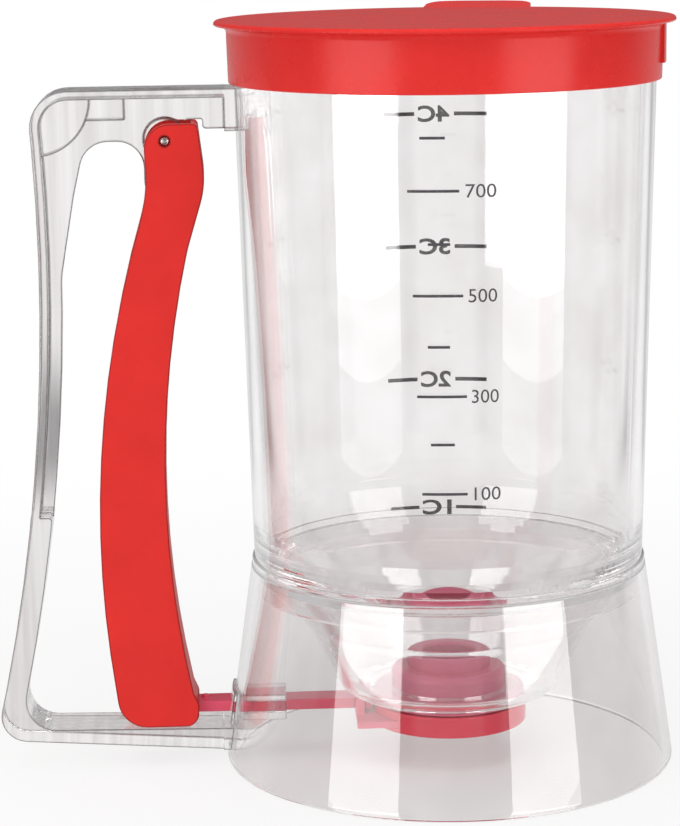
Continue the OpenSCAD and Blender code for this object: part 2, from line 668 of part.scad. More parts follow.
// Return spring: a wire swept along two straight legs and a coil around the pin
function coil_point(a, y) = [pivot_x + coil_r * cos(a), y, pivot_z + coil_r * sin(a)];
leg_foot = [shoulder_x - front_t - wire_d / 2 - leg_gap, -leg_drop];
leg_head = hook_at * [cos(hook_turn), sin(hook_turn)];
foot_turn = atan2(leg_foot.y, leg_foot.x) + acos(coil_r / norm(leg_foot));
head_turn = atan2(leg_head.y, leg_head.x) + 360 * floor(coil_turns) - acos(coil_r / norm(leg_head));
coil_y = -(channel - wire_d / 2 - slide_gap);
coil_steps = 52;
coil_path = [for (i = [0 : coil_steps]) let (a = foot_turn + (head_turn - foot_turn) * i / coil_steps)
    coil_point(a, coil_y + coil_pitch * (a - foot_turn) / 360)];
coil_end_y = coil_path[len(coil_path) - 1].y;
wire_path = concat([[pivot_x + leg_foot.x, coil_y, pivot_z + leg_foot.y]], coil_path,
                   [for (y = [coil_end_y, 0]) [pivot_x + leg_head.x, y, pivot_z + leg_head.y]]);
hook_way = [leg_head.x, 0, leg_head.y] - [coil_r * cos(head_turn), 0, coil_r * sin(head_turn)];
wire_sides = 8;
module return_spring() {
    n = len(wire_path);
    rings = [for (i = [0 : n - 1])
        let (d = wire_path[min(i + 1, n - 1)] - wire_path[max(i - 1, 0)], t = d / norm(d),
             flat = i < n - 1 ? [d.x, 0, d.z] : hook_way,
             c = cross(flat, [0, 1, 0]), u = c / norm(c), v = cross(u, t) / norm(cross(u, t)))
        for (k = [0 : wire_sides - 1]) wire_path[i]
            + wire_d / 2 * (u * cos(k * 360 / wire_sides) + v * sin(k * 360 / wire_sides))];
    sides = [for (i = [0 : n - 2]) for (k = [0 : wire_sides - 1])
        let (m = (k + 1) % wire_sides, a = i * wire_sides, b = a + wire_sides) [a + k, a + m, b + m, b + k]];
    color("silver") polyhedron(rings, concat(sides, [[for (k = [wire_sides - 1 : -1 : 0]) k]],
        [[for (k = [0 : wire_sides - 1]) (n - 1) * wire_sides + k]]));
}

// Lid
module lift_tab() {
    low = lid_top_z - tab_t;
    reach = tab_root + tab_out;
    intersection() {
        rotate(tab_angle) translate([flange_r - tab_root, 0, low]) rotate([0, -tab_tilt, 0])
            linear_extrude(tab_t) polygon(rounded([[0, -tab_w / 2, 0], [reach, -tab_w / 2, tab_round],
                                                  [reach, tab_w / 2, tab_round], [0, tab_w / 2, 0]]));
        cylinder(h = 2 * jug_h, r = flange_r + tab_out);
    }
}
module lid() {
    color("crimson") union() {
        turned(rounded([
            [0, lid_top_z, 0], [0, lid_under_z, 0], [plug_r - plug_wall, lid_under_z, plug_root],
            [plug_r - plug_wall, lid_under_z - plug_h, edge_r], [plug_r, lid_under_z - plug_h, plug_lead],
            [plug_r, lid_under_z, 0], [lid_in_r, lid_under_z, 0], [lid_in_r, lid_foot_z, skirt_in_round],
            [lid_out_r - lid_draft, lid_foot_z, skirt_foot_round],
            [lid_out_r, lid_top_z - flange_drop, crease_round],
            [flange_r, lid_top_z - flange_h, flange_low_round],
            [flange_r - flange_lean, lid_top_z, flange_top_round]]));
        intersection() {
            turned([[lid_in_r + edge_r, lid_top_z - lid_t / 2], [lid_out_r + pad_out, lid_top_z - lid_t / 2],
                    [lid_out_r + pad_out, lid_top_z - flange_drop - pad_h],
                    [lid_in_r + edge_r, lid_top_z - flange_drop - pad_h]]);
            wedge(2 * flange_r, 0, pad_arc, lid_foot_z, lid_top_z);
        }
        lift_tab();
    }
}

jug_body();
base_skirt();
handle_frame();
rod_guide();
valve_seat();
gate_seal();
valve_cap();
gate_plate();
draw_rod();
trigger();
pivot_pin();
pivot_clip();
pivot_spacer();
return_spring();
lid();
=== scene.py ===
# %% [markdown]
# # Batter dispenser
# A clear moulded jug with a funnel floor stands on a flared clear base. A D-handle carries a red
# trigger, which draws a red gate from under the outlet, and a red lid is pushed on the mouth. The
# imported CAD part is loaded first: every size and place below comes from it or is added to it, so
# nothing in this file has to be fitted afterwards.

# %% Load the frame
import math

import bmesh
import bpy
from mathutils import Matrix, Vector


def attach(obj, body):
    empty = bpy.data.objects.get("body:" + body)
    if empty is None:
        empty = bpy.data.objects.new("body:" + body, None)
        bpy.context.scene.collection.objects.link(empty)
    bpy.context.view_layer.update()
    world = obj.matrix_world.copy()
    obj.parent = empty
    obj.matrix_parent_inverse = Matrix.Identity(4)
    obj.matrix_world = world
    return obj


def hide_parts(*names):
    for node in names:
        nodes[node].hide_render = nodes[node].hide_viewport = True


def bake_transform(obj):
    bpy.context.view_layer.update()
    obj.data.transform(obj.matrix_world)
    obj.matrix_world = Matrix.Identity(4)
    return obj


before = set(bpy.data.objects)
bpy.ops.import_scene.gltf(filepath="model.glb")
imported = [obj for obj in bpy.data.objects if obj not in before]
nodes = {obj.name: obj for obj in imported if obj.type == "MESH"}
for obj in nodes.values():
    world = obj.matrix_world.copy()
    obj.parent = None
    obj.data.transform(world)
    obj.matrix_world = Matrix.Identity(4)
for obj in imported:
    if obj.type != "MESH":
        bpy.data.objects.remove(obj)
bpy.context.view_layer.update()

# %% [markdown]
# ## Units and small helpers
# Blender works in metres and the part is thought of in millimetres, so sizes are written in
# millimetres and multiplied once. Colours are written as the sRGB hex values that a designer
# reads off a sample, and shaders need linear light, so one function converts them. Node trees are
# long to write by hand, so one function adds a node, fills its sockets and joins its links.

# %% Units and colours
MM = 0.001
scene = bpy.context.scene


def linear(hex_colour):
    """The linear RGBA of an sRGB hex colour such as #D93A36."""
    parts = [int(hex_colour[i:i + 2], 16) / 255 for i in (1, 3, 5)]
    return tuple(c / 12.92 if c <= 0.04045 else ((c + 0.055) / 1.055) ** 2.4 for c in parts) + (1,)


print("lid red in linear light:", [round(c, 3) for c in linear("#DA302D")])


# %% Shader nodes
def add(tree, kind, settings={}, links={}):
    """Adds a shader node: settings fill its sockets or properties, links feed its sockets."""
    node = tree.nodes.new("ShaderNode" + kind)
    for name, value in settings.items():
        if isinstance(name, int) or name in node.inputs:
            node.inputs[name].default_value = value
        else:
            setattr(node, name, value)
    for name, source in links.items():
        tree.links.new(source, node.inputs[name])
    return node


def new_material(name):
    """A material with an empty node tree, and that tree."""
    material = bpy.data.materials.new(name)
    material.use_nodes = True
    material.node_tree.nodes.clear()
    return material, material.node_tree


def keep_piece(name, mesh, material):
    """Puts a finished bmesh into the scene as a smooth-shaded piece with one material."""
    data = bpy.data.meshes.new(name)
    for face in mesh.faces:
        face.smooth = True
    mesh.to_mesh(data)
    mesh.free()
    piece = bpy.data.objects.new(name, data)
    scene.collection.objects.link(piece)
    data.materials.append(material)
    print(name, "has", len(data.polygons), "faces")
    return piece


# %% [markdown]
# ## Camera
# A product camera stands about 0.73 m away with a long lens, a little above the lid, and looks
# down by about eleven degrees. A long lens keeps the sides of the jug nearly parallel, as in a
# catalogue picture. A Track To constraint could aim it, but its roll would still need an angle of
# its own, so the camera's three axes are built from heading, tilt and roll. The render size is
# set by whoever renders.

# %% Camera
IMAGE_SIZE = (680, 826)
FOCAL_PX = 2755.7
SENSOR = 36
camera_at = Vector((-63.42, -724.93, 234.06)) * MM
heading, tilt, roll = (math.radians(a) for a in (-2.74, 10.84, 0.83))

camera = bpy.data.objects.new("camera", bpy.data.cameras.new("camera"))
scene.collection.objects.link(camera)
camera.data.sensor_width = SENSOR
camera.data.lens = FOCAL_PX / max(IMAGE_SIZE) * SENSOR
camera.data.clip_start = 10 * MM
ahead = Vector((-math.sin(heading), math.cos(heading), 0))
level_right = Vector((math.cos(heading), math.sin(heading), 0))
forward = ahead * math.cos(tilt) - Vector((0, 0, math.sin(tilt)))
level_up = ahead * math.sin(tilt) + Vector((0, 0, math.cos(tilt)))
right = level_right * math.cos(roll) - level_up * math.sin(roll)
up = level_right * math.sin(roll) + level_up * math.cos(roll)
camera.matrix_world = Matrix.Translation(camera_at) @ Matrix((right, up, -forward)).transposed().to_4x4()
scene.camera = camera
print("lens in mm:", round(camera.data.lens, 2))

# %% [markdown]
# ## Studio
# Clear plastic is seen by what it mirrors and bends, so its studio is planned like its shape. Two
# tall softboxes stand left and right of the camera. A clear wall mirrors only a tenth of them, so
# a softbox has to be many times brighter than white paper to draw a white strip down the jug;
# coloured plastic would be burnt out by that much light. So each box is two things in one place:
# a lamp that lights colours at a plain level, and a glowing screen that only gloss sees. A wall
# seen from above mirrors what lies lower down, so the foot of the strips, where they fade in two
# steps, sets how far down the jug they run. The flared base leans back and mirrors what is level
# with it. Higher up the screens turn dim, or the flat top of the lid would mirror them from
# behind, but a ray that has come through clear plastic finds them bright, and draws the funnel's
# highlights.

# %% Softboxes
# Metres, and radiance with white paper as 1. Each band of a screen has the share of the gloss
# radiance that it shows to a plain mirrored ray, the share through clear plastic, its foot and its head.
BOX_DISTANCE = 1.3
BOX_SIZE = (0.86, 2.1)
BOX_MIDDLE = 0.4
BOX_AZIMUTH = {"left": -48, "right": 44}
PLAIN_RADIANCE = {"left": 1.68, "right": 1.56}
GLOSS_RADIANCE = {"left": 5.2, "right": 5.0}
SCREEN_BANDS = ((0.15, 1.0, 0.34, 1.45), (0.5, 1.0, 0.29, 0.34), (1.0, 1.0, -0.11, 0.29),
                (0.6, 0.6, -0.17, -0.11), (0.25, 0.25, -0.24, -0.17))
TOP_RADIANCE = 3.0
TOP_SIZE = (1.3, 1.3)
TOP_PLACE, TOP_AIM = (0, -0.25, 1.5), (0, 0, 0.1)


def face_towards(piece, azimuth, place, towards):
    """Stands a piece at this azimuth about the object and turns its face to a point."""
    piece.location = Matrix.Rotation(math.radians(azimuth), 3, "Z") @ Vector(place)
    away = piece.location - Vector(towards)
    piece.rotation_euler = away.to_track_quat("Z", "Y").to_euler()
    piece.visible_camera = False


def softbox(name, azimuth, size, radiance, place, towards):
    """A rectangular lamp whose face has this radiance, which lights colours and isn't mirrored."""
    lamp = bpy.data.lights.new(name, "AREA")
    lamp.shape = "RECTANGLE"
    lamp.size, lamp.size_y = size
    lamp.energy = radiance * math.pi * size[0] * size[1]
    piece = bpy.data.objects.new(name, lamp)
    scene.collection.objects.link(piece)
    face_towards(piece, azimuth, place, towards)
    piece.visible_glossy = piece.visible_transmission = False


def gloss_screen(name, azimuth, size, outside, inside, place, towards):
    """A glowing rectangle, only mirrored, with one radiance outside and one through clear plastic."""
    glow, tree = new_material(name)
    glow.cycles.emission_sampling = "NONE"
    ray = add(tree, "LightPath")
    through = add(tree, "Math", {"operation": "GREATER_THAN", 1: 0.5},
                  {0: ray.outputs["Transmission Depth"]})
    radiance = add(tree, "Mix", {"data_type": "FLOAT", 2: outside, 3: inside}, {0: through.outputs[0]})
    light = add(tree, "Emission", {"Color": (1, 1, 1, 1)}, {"Strength": radiance.outputs[0]})
    add(tree, "OutputMaterial", {}, {"Surface": light.outputs[0]})
    mesh = bmesh.new()
    bmesh.ops.create_grid(mesh, x_segments=1, y_segments=1, size=0.5)
    bmesh.ops.scale(mesh, vec=(size[0], size[1], 1), verts=mesh.verts)
    piece = keep_piece(name, mesh, glow)
    face_towards(piece, azimuth, place, towards)
    piece.visible_diffuse = piece.visible_shadow = False


# %% Place the softboxes
for side, azimuth in BOX_AZIMUTH.items():
    gloss = GLOSS_RADIANCE[side]
    softbox("softbox_" + side, azimuth, BOX_SIZE, PLAIN_RADIANCE[side],
            (0, -BOX_DISTANCE, BOX_MIDDLE), (0, 0, BOX_MIDDLE))
    for outside, inside, foot, head in SCREEN_BANDS:
        middle = (foot + head) / 2
        gloss_screen(f"screen_{side}_{outside}", azimuth, (BOX_SIZE[0], head - foot), gloss * outside,
                     gloss * inside, (0, -BOX_DISTANCE, middle), (0, 0, middle))
softbox("softbox_top", 0, TOP_SIZE, TOP_RADIANCE, TOP_PLACE, TOP_AIM)

# %% [markdown]
# ## Backdrop
# In an even white world a clear jug has no outline, because it only bends white into white. So
# the backdrop is a world whose light depends on what kind of ray looks at it: the camera sees
# plain white; a ray that comes through clear plastic sees white with soft grey gaps between the
# panels, which draws the grey outline of a clear wall; a mirrored ray sees a dim room with a
# bright low backdrop, and the whole backdrop once it is inside the jug; the rest is an even fill.
# The panels repeat every 45 degrees, so a clear wall has its grey outlines from every side.

# %% White panels and grey gaps
PANEL_STEP = math.radians(45)
PANEL_TURN = math.radians(5)
PANEL_HALF = (math.radians(15.5), math.radians(20))
GAP_GREY = 0.4


def panel_white(tree, place_xyz):
    """1 where the direction (x, y) lies on a white panel and GAP_GREY in the gaps between panels."""
    turn = add(tree, "Math", {"operation": "ARCTAN2"},
               {0: place_xyz.outputs["X"], 1: place_xyz.outputs["Y"]})
    moved = add(tree, "Math", {"operation": "SUBTRACT", 1: PANEL_TURN}, {0: turn.outputs[0]})
    half_on = add(tree, "Math", {"operation": "ADD", 1: PANEL_STEP / 2}, {0: moved.outputs[0]})
    nearest = add(tree, "Math", {"operation": "SNAP", 1: PANEL_STEP}, {0: half_on.outputs[0]})
    off = add(tree, "Math", {"operation": "SUBTRACT"}, {0: moved.outputs[0], 1: nearest.outputs[0]})
    side = add(tree, "Math", {"operation": "ABSOLUTE"}, {0: off.outputs[0]})
    return add(tree, "MapRange", {"interpolation_type": "SMOOTHSTEP", "From Min": PANEL_HALF[0],
                                  "From Max": PANEL_HALF[1], "To Min": 1.0, "To Max": GAP_GREY},
               {"Value": side.outputs[0]}).outputs["Result"]


print("grey gaps between the panels:", GAP_GREY, "every", round(math.degrees(PANEL_STEP)), "degrees")


# %% World
# A mirrored ray's backdrop fades in as the Y of its direction runs through the first range, and
# fades to ABOVE_SHARE as its Z runs through the second.
FILL = 0.34
ROOM, ROOM_INSIDE = 0.1, 0.8
BACKDROP_GREY = 0.75
BACKDROP_FROM = (0.1, 0.6)
BACKDROP_TOP = (-0.14, 0.04)
ABOVE_SHARE = 0.1
world = bpy.data.worlds.new("studio")
world.use_nodes = True
world.cycles.sampling_method = "NONE"
scene.world = world
tree = world.node_tree
tree.nodes.clear()
ray = add(tree, "LightPath")
way = add(tree, "TexCoord")
way_xyz = add(tree, "SeparateXYZ", {}, {"Vector": way.outputs["Generated"]})
behind = add(tree, "MapRange", {"interpolation_type": "SMOOTHSTEP", "From Min": BACKDROP_FROM[0],
                                "From Max": BACKDROP_FROM[1]}, {"Value": way_xyz.outputs["Y"]})
low = add(tree, "MapRange", {"interpolation_type": "SMOOTHSTEP", "From Min": BACKDROP_TOP[0],
                             "From Max": BACKDROP_TOP[1], "To Min": 1.0, "To Max": ABOVE_SHARE},
          {"Value": way_xyz.outputs["Z"]})
inside = add(tree, "Math", {"operation": "GREATER_THAN", 1: 0.5}, {0: ray.outputs["Transmission Depth"]})
height = add(tree, "Math", {"operation": "MAXIMUM"}, {0: low.outputs["Result"], 1: inside.outputs[0]})
backdrop = add(tree, "Math", {"operation": "MULTIPLY"},
               {0: behind.outputs["Result"], 1: height.outputs[0]})
room = add(tree, "Mix", {"data_type": "FLOAT", 2: ROOM, 3: ROOM_INSIDE}, {0: inside.outputs[0]})
mirrored = add(tree, "Mix", {"data_type": "FLOAT", 3: BACKDROP_GREY},
               {0: backdrop.outputs[0], 2: room.outputs[0]})
fill = add(tree, "Mix", {"data_type": "FLOAT", 2: FILL},
           {0: ray.outputs["Is Glossy Ray"], 3: mirrored.outputs[0]})
seen = add(tree, "Mix", {"data_type": "FLOAT"},
           {0: ray.outputs["Is Transmission Ray"], 2: fill.outputs[0], 3: panel_white(tree, way_xyz)})
strength = add(tree, "Mix", {"data_type": "FLOAT", 3: 1.0},
               {0: ray.outputs["Is Camera Ray"], 2: seen.outputs[0]})
glow = add(tree, "Background", {"Color": (1, 1, 1, 1)}, {"Strength": strength.outputs[0]})
add(tree, "OutputWorld", {}, {"Surface": glow.outputs[0]})
print("world nodes:", len(tree.nodes))

# %% [markdown]
# ## Floor
# The floor is white paper. Close to the object it mixes lit paper, which takes the soft shadow,
# with plain white, and further out it is plain white, so it runs into the backdrop with no
# horizon. A curved sweep of paper would hide the horizon too, but only from one side, and this
# floor is the same all round. What is seen through clear plastic takes more of the shadow, and
# shows the backdrop's grey gaps further out. Mirrored rays pass the floor, because the softboxes
# reach below it.

# %% Floor
# Metres from the object's middle: the floor's reach, where plain white starts to grow and where
# there is nothing else, and where the grey gaps start to show and are full. PLAIN_NEAR is the
# share of plain white close to the object.
FLOOR_RADIUS = 3.0
NEAR, FAR = 0.14, 0.42
PANELS_FROM = (0.3, 0.45)
PLAIN_NEAR, PLAIN_NEAR_THROUGH = 0.8, 0.5
PAPER = (0.8, 0.8, 0.8, 1)
floor_mesh = bmesh.new()
bmesh.ops.create_circle(floor_mesh, cap_ends=True, segments=96, radius=FLOOR_RADIUS)
paper, tree = new_material("paper_white_matte")
ray = add(tree, "LightPath")
place = add(tree, "TexCoord").outputs["Object"]
place_xyz = add(tree, "SeparateXYZ", {}, {"Vector": place})
reach = add(tree, "VectorMath", {"operation": "LENGTH"}, {0: place})
plain = add(tree, "MapRange",
            {"interpolation_type": "SMOOTHSTEP", "From Min": NEAR, "From Max": FAR,
             "To Min": PLAIN_NEAR, "To Max": 1.0}, {"Value": reach.outputs["Value"]})
plain_through = add(tree, "MapRange",
                    {"interpolation_type": "SMOOTHSTEP", "From Min": NEAR, "From Max": FAR,
                     "To Min": PLAIN_NEAR_THROUGH, "To Max": 1.0}, {"Value": reach.outputs["Value"]})
near_share = add(tree, "Math", {"operation": "MULTIPLY"},
                 {0: plain.outputs["Result"], 1: ray.outputs["Is Camera Ray"]})
share = add(tree, "Mix", {"data_type": "FLOAT"},
            {0: ray.outputs["Is Transmission Ray"], 2: near_share.outputs[0],
             3: plain_through.outputs["Result"]})
far_off = add(tree, "MapRange", {"interpolation_type": "SMOOTHSTEP", "From Min": PANELS_FROM[0],
                                 "From Max": PANELS_FROM[1]}, {"Value": reach.outputs["Value"]})
gaps_show = add(tree, "Math", {"operation": "MULTIPLY"},
                {0: far_off.outputs["Result"], 1: ray.outputs["Is Transmission Ray"]})
panels = add(tree, "Mix", {"data_type": "FLOAT", 2: 1.0},
             {0: gaps_show.outputs[0], 3: panel_white(tree, place_xyz)})
lit = add(tree, "BsdfDiffuse", {"Color": PAPER})
white = add(tree, "Emission", {"Color": (1, 1, 1, 1)}, {"Strength": panels.outputs[0]})
both = add(tree, "MixShader", {}, {0: share.outputs[0], 1: lit.outputs[0], 2: white.outputs[0]})
add(tree, "OutputMaterial", {}, {"Surface": both.outputs[0]})
floor = keep_piece("floor", floor_mesh, paper)
floor.visible_glossy = False
floor.visible_shadow = False

# %% Light paths
# Clear walls stand behind each other, so a ray needs many turns before it may stop. The clamp
# takes single stray sparks out.
scene.view_settings.view_transform = "Standard"
scene.cycles.max_bounces = 64
scene.cycles.transmission_bounces = 40
scene.cycles.transparent_max_bounces = 40
scene.cycles.glossy_bounces = 48
scene.cycles.diffuse_bounces = 4
scene.cycles.caustics_reflective = False
scene.cycles.caustics_refractive = False
scene.cycles.sample_clamp_indirect = 6.0
print("turns before a ray stops:", scene.cycles.max_bounces)

# %% [markdown]
# ## Clear resin
# The jug, base, handle and guide are styrene-acrylonitrile (SAN), injection moulded in polished
# tools: water clear, hard, with a mirror gloss and an IOR of 1.57. A real moulding isn't optical
# glass, though. The melt's flow leaves slow waves in the surface, wiping leaves patches of haze
# and hairline scuffs, and these are what make it look moulded and handled. A rounded edge leads
# the light that enters it away inside the wall, so a thick clear plate has dark outlines: that
# shade is painted on, as a darker colour along its edges. The lamps' light has to get inside as
# well: a shadow or diffuse ray passes the wall as if it weren't bent. A ray that is caught in a
# thick rim is thrown back and forth until the renderer gives it up as black. In a real moulding it
# gets out somewhere, so after a number of turns it ends here as the pale grey of the room.

# %% Clear resin
# A hairline scuff is a few hundredths of a millimetre wide, too fine to show, so SCUFF, its width
# and length, is drawn as coarse as it needs to show.
RESIN_IOR = 1.57
FLOW_WAVE = 34 * MM
HAZE_PATCH = 18 * MM
SCUFF = (0.5 * MM, 9 * MM)
LEAST_ROUGH = 0.004
TRAPPED_AFTER = 16
TRAPPED_GREY = 0.6
# Where along a noise's 0 to 1 a patch, a scuff or a cloud starts and is full, and how far a
# rounded normal has turned where the painted shade along an edge starts and is full.
PATCH_FROM, SCUFF_FROM, CLOUD_FROM = (0.48, 0.72), (0.66, 0.74), (0.35, 0.65)
PAINTED_OUTLINE_TURN = (0.999, 0.93)
PAINTED_OUTLINE_REACH = 0.7 * MM
SMEAR_TURN = (0.3, 0.5, 0.2)


def clear_resin(name, colour, deeper, cloud, wave_depth, haze, outline=None):
    """Clear moulding: two tints in clouds of a size, flow waves of a height, and maybe edges painted dark
    as shade.
    """
    material, tree = new_material(name)
    place = add(tree, "TexCoord").outputs["Object"]
    flow = add(tree, "TexNoise", {"Scale": 1 / FLOW_WAVE, "Detail": 1.5, "Roughness": 0.4},
               {"Vector": place})
    wipe = add(tree, "TexNoise", {"Scale": 1 / HAZE_PATCH, "Detail": 5.0}, {"Vector": place})
    smear = add(tree, "Mapping", {"Rotation": SMEAR_TURN,
                                  "Scale": (1 / SCUFF[0], 1 / SCUFF[0], 1 / SCUFF[1])}, {"Vector": place})
    scuff = add(tree, "TexNoise", {"Scale": 1.0, "Detail": 2.0}, {"Vector": smear.outputs[0]})
    patch = add(tree, "MapRange", {"From Min": PATCH_FROM[0], "From Max": PATCH_FROM[1],
                                   "To Min": LEAST_ROUGH, "To Max": haze}, {"Value": wipe.outputs["Fac"]})
    marks = add(tree, "MapRange", {"From Min": SCUFF_FROM[0], "From Max": SCUFF_FROM[1],
                                   "To Min": 0.0, "To Max": haze}, {"Value": scuff.outputs["Fac"]})
    rough = add(tree, "Math", {"operation": "ADD"},
                {0: patch.outputs["Result"], 1: marks.outputs["Result"]})
    bump = add(tree, "Bump", {"Strength": 0.3, "Distance": wave_depth}, {"Height": flow.outputs["Fac"]})
    cloud_at = add(tree, "Mapping", {"Scale": tuple(1 / size for size in cloud)}, {"Vector": place})
    clouds = add(tree, "TexNoise", {"Scale": 1.0, "Detail": 3.0}, {"Vector": cloud_at.outputs[0]})
    cloudy = add(tree, "MapRange", {"From Min": CLOUD_FROM[0], "From Max": CLOUD_FROM[1]},
                 {"Value": clouds.outputs["Fac"]})
    tint = add(tree, "Mix", {"data_type": "RGBA", "A": linear(colour), "B": linear(deeper)},
               {0: cloudy.outputs["Result"]})
    # Painted shade: near an edge the colour turns dark, standing in for the light a rounded edge leads
    # away.
    if outline:
        rounded = add(tree, "Bevel", {"samples": 6, "Radius": PAINTED_OUTLINE_REACH})
        flat = add(tree, "NewGeometry")
        same = add(tree, "VectorMath", {"operation": "DOT_PRODUCT"},
                   {0: rounded.outputs["Normal"], 1: flat.outputs["True Normal"]})
        painted_shade_at_edge = add(tree, "MapRange", {"From Min": PAINTED_OUTLINE_TURN[0], "From Max": PAINTED_OUTLINE_TURN[1]},
                      {"Value": same.outputs["Value"]})
        tint = add(tree, "Mix", {"data_type": "RGBA", "B": linear(outline)},
                   {0: painted_shade_at_edge.outputs["Result"], "A": tint.outputs[2]})
        tree.links.new(rounded.outputs["Normal"], bump.inputs["Normal"])
    resin = add(tree, "BsdfPrincipled", {"IOR": RESIN_IOR, "Transmission Weight": 1.0},
                {"Base Color": tint.outputs[2], "Roughness": rough.outputs[0],
                 "Normal": bump.outputs["Normal"]})
    ray = add(tree, "LightPath")
    lamp_way = add(tree, "Math", {"operation": "MAXIMUM"},
                   {0: ray.outputs["Is Shadow Ray"], 1: ray.outputs["Is Diffuse Ray"]})
    let_through = add(tree, "BsdfTransparent", {"Color": linear("#F4F4F3")})
    wall = add(tree, "MixShader", {},
               {0: lamp_way.outputs[0], 1: resin.outputs[0], 2: let_through.outputs[0]})
    trapped = add(tree, "Math", {"operation": "GREATER_THAN", 1: TRAPPED_AFTER},
                  {0: ray.outputs["Ray Depth"]})
    escapes = add(tree, "Emission", {"Color": (1, 1, 1, 1), "Strength": TRAPPED_GREY})
    surface = add(tree, "MixShader", {},
                  {0: trapped.outputs[0], 1: wall.outputs[0], 2: escapes.outputs[0]})
    material.cycles.emission_sampling = "NONE"
    add(tree, "OutputMaterial", {}, {"Surface": surface.outputs[0]})
    print(name, "IOR", RESIN_IOR, "haze", haze)
    return material


# %% Clear finishes
ROUND_CLOUD = (18 * MM, 18 * MM, 18 * MM)
UPRIGHT_STREAK = (2.5 * MM, 2.5 * MM, 70 * MM)
clear_jug = clear_resin("styrene_acrylonitrile_polished", "#FBFAFA", "#F5F3F3",
                        ROUND_CLOUD, 0.16 * MM, 0.03)
clear_base = clear_resin("styrene_acrylonitrile_polished_base", "#F6F4F4", "#EFEDED",
                         ROUND_CLOUD, 0.2 * MM, 0.035)
# The handle's edges are painted dark, #211F1F, as shade.
clear_handle = clear_resin("styrene_acrylonitrile_handled", "#F7F5F5", "#E2DEDE",
                           UPRIGHT_STREAK, 0.1 * MM, 0.05, outline="#211F1F")
# The guide's rounded strips are painted dark grey as shade, in a material of their own.
clear_painted_shade_edge = clear_resin("styrene_acrylonitrile_painted_shade_edge", "#5F5B5B", "#B4B0B0",
                         ROUND_CLOUD, 0.1 * MM, 0.05)

# %% [markdown]
# ## Red plastics
# The reds differ by how they were moulded. The lid is polypropylene from a satin tool: a soft
# sheen with broad highlights. The trigger is ABS from a finely eroded tool, matte; its rounded
# edges get a deeper red, which is painted shade. The valve's cap, gate and rod are ABS from a
# polished tool in a pinker red, and the seat is a rose polypropylene. Each gets a fine grain,
# cloudy differences in sheen, and paler scuffed edges, which a bevelled normal finds: it differs
# from the plain normal only close to an edge.

# %% Red plastics
EDGE_REACH = 0.6 * MM
EDGE_TURN = (0.99, 0.85)
MOST_SCUFFED = 0.3
CLOUD = 11 * MM
NOISE_FROM = (0.3, 0.7)
SHADES = (0.955, 1.03)


def red_plastic(name, colour, scuffed, gloss, roughness, spread, grain, depth):
    """Moulded red plastic: gloss is its specular level, spread how much its roughness varies, and
    grain and depth the size of the tool's texture."""
    material, tree = new_material(name)
    place = add(tree, "TexCoord").outputs["Object"]
    cloud = add(tree, "TexNoise", {"Scale": 1 / CLOUD, "Detail": 4.0}, {"Vector": place})
    pits = add(tree, "TexNoise", {"Scale": 1 / grain, "Detail": 3.0}, {"Vector": place})
    near_edge = add(tree, "Bevel", {"samples": 4, "Radius": EDGE_REACH})
    plain = add(tree, "NewGeometry")
    same = add(tree, "VectorMath", {"operation": "DOT_PRODUCT"},
               {0: near_edge.outputs["Normal"], 1: plain.outputs["Normal"]})
    edge = add(tree, "MapRange", {"From Min": EDGE_TURN[0], "From Max": EDGE_TURN[1],
                                  "To Min": 0.0, "To Max": MOST_SCUFFED},
               {"Value": same.outputs["Value"]})
    worn = add(tree, "Math", {"operation": "MULTIPLY"},
               {0: edge.outputs["Result"], 1: cloud.outputs["Fac"]})
    shade = add(tree, "MapRange", {"From Min": NOISE_FROM[0], "From Max": NOISE_FROM[1],
                                   "To Min": SHADES[0], "To Max": SHADES[1]},
                {"Value": cloud.outputs["Fac"]})
    tint = add(tree, "HueSaturation", {"Color": linear(colour)}, {"Value": shade.outputs["Result"]})
    skin = add(tree, "Mix", {"data_type": "RGBA", "B": linear(scuffed)},
               {0: worn.outputs[0], "A": tint.outputs["Color"]})
    rough = add(tree, "MapRange", {"From Min": NOISE_FROM[0], "From Max": NOISE_FROM[1],
                                   "To Min": roughness - spread, "To Max": roughness + spread},
                {"Value": cloud.outputs["Fac"]})
    bump = add(tree, "Bump", {"Strength": 0.25, "Distance": depth}, {"Height": pits.outputs["Fac"]})
    body = add(tree, "BsdfPrincipled", {"IOR": 1.49, "Specular IOR Level": gloss},
               {"Base Color": skin.outputs[2], "Roughness": rough.outputs["Result"],
                "Normal": bump.outputs["Normal"]})
    add(tree, "OutputMaterial", {}, {"Surface": body.outputs[0]})
    print(name, "roughness", roughness)
    return material


# %% Red finishes
# After the two colours: gloss, roughness, spread, grain and depth. A tool's texture is about a
# tenth of a millimetre, too fine to show, so the grain is drawn as coarse as it needs to show.
lid_red = red_plastic("polypropylene_satin_moulded", "#DA302D", "#E8726C",
                      0.22, 0.27, 0.03, 0.7 * MM, 0.02 * MM)
grip_red = red_plastic("abs_eroded_moulded", "#DA2F2B", "#E4645E",
                       0.2, 0.42, 0.05, 0.6 * MM, 0.035 * MM)
